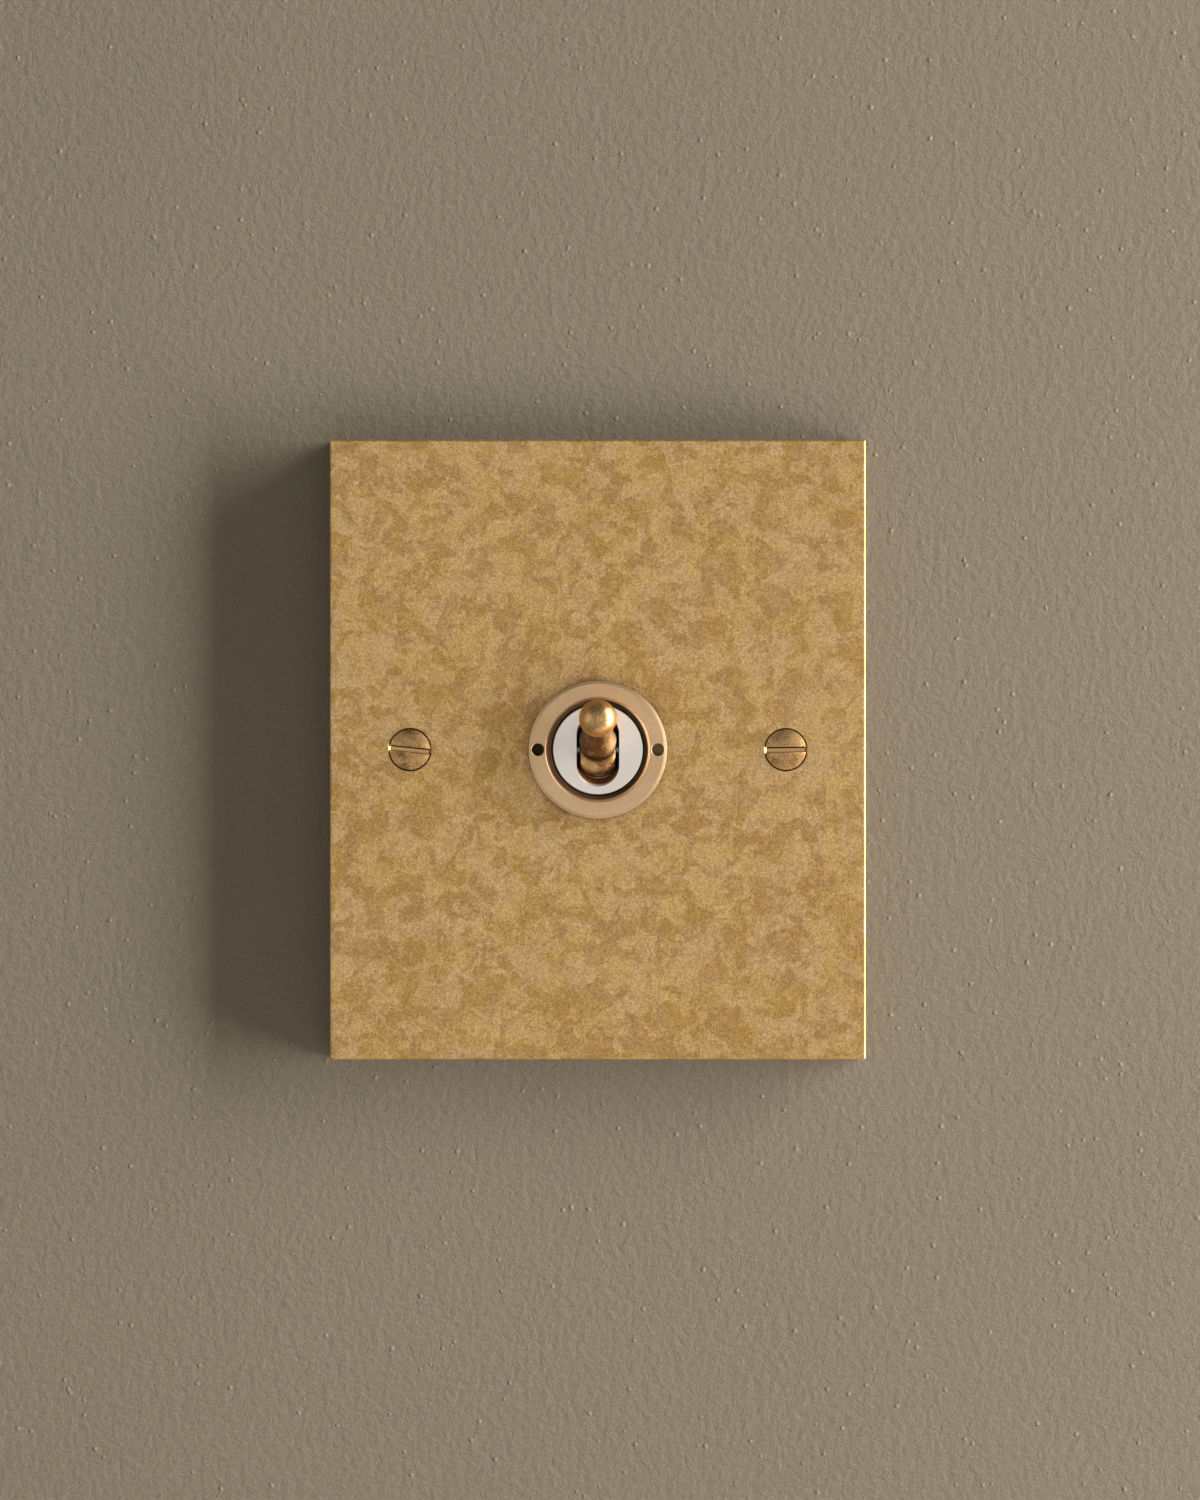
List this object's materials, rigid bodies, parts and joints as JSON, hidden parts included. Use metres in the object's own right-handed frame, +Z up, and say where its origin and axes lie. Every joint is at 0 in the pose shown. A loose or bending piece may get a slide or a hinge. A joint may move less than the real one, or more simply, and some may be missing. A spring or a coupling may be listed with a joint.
{
  "type": "dolly light switch",
  "caption": "Wall light switch with a thick aged brass plate, a round bezel ring, a ball-tipped brass dolly and a two-way rocker mechanism behind.",
  "frame": {"origin": "middle of the plate's back face, on the axis of the barrel, midway between the fixing screws", "axes": "+X to the right seen from the front, +Y into the wall, +Z up"},
  "size_m": [0.086, 0.0503, 0.0996],
  "materials": {
    "aged_brass": "aged, mottled patina",
    "antique_brass": "dark antique, rubbed bright on the high spots",
    "satin_brass": "satin, finely turned",
    "pale_nickel": "nickel plated, satin",
    "turned_brass": "as turned",
    "zinc_steel": "zinc plated",
    "spring_steel": "drawn wire",
    "contact_silver": "silver, satin",
    "white_nylon": "natural nylon",
    "fibre_sheet": "pressed fibre",
    "dark_moulding": "moulded, fine satin"
  },
  "bodies": {
    "plate_and_case": {"face_plate": "aged_brass", "fixing_screws": "antique_brass", "bezel_ring": "satin_brass", "barrel": "pale_nickel", "lock_washer": "zinc_steel", "back_nut": "turned_brass", "pivot_pin": "zinc_steel", "frame_plate": "zinc_steel", "insulator_sheet": "fibre_sheet", "housing": "dark_moulding", "inner_moulding": "dark_moulding", "fixed_contacts": "contact_silver", "common_terminal": "turned_brass", "lower_way_terminal": "turned_brass", "upper_way_terminal": "turned_brass", "terminal_screws": "zinc_steel", "earth_post": "turned_brass", "earth_screw": "zinc_steel"},
    "dolly_lever": {"dolly": "antique_brass", "plunger_spring": "spring_steel"},
    "plunger_nose": {"plunger": "white_nylon"},
    "contact_rocker": {"rocker": "turned_brass", "rocker_contacts": "contact_silver"}
  },
  "joints": [
    {"name": "dolly_throw", "type": "hinge", "parent": "plate_and_case", "child": "dolly_lever", "pos_m": [0, -0.0013, 0], "axis": [1, 0, 0], "range_deg": [0, 34]},
    {"name": "rocker_tilt", "type": "hinge", "parent": "plate_and_case", "child": "contact_rocker", "pos_m": [0, 0.0143, 0], "axis": [1, 0, 0], "range_deg": [-12, 0]},
    {"name": "plunger_slide", "type": "slide", "parent": "dolly_lever", "child": "plunger_nose", "axis": [0, 0.9563, -0.2924], "range_m": [-0.0008, 0], "stiffness_N_per_m": 400, "deforming": ["plunger_spring"]}
  ],
  "couplings": [
    {"joint": "rocker_tilt", "follows": "dolly_throw", "ratio": -0.35294}
  ]
}
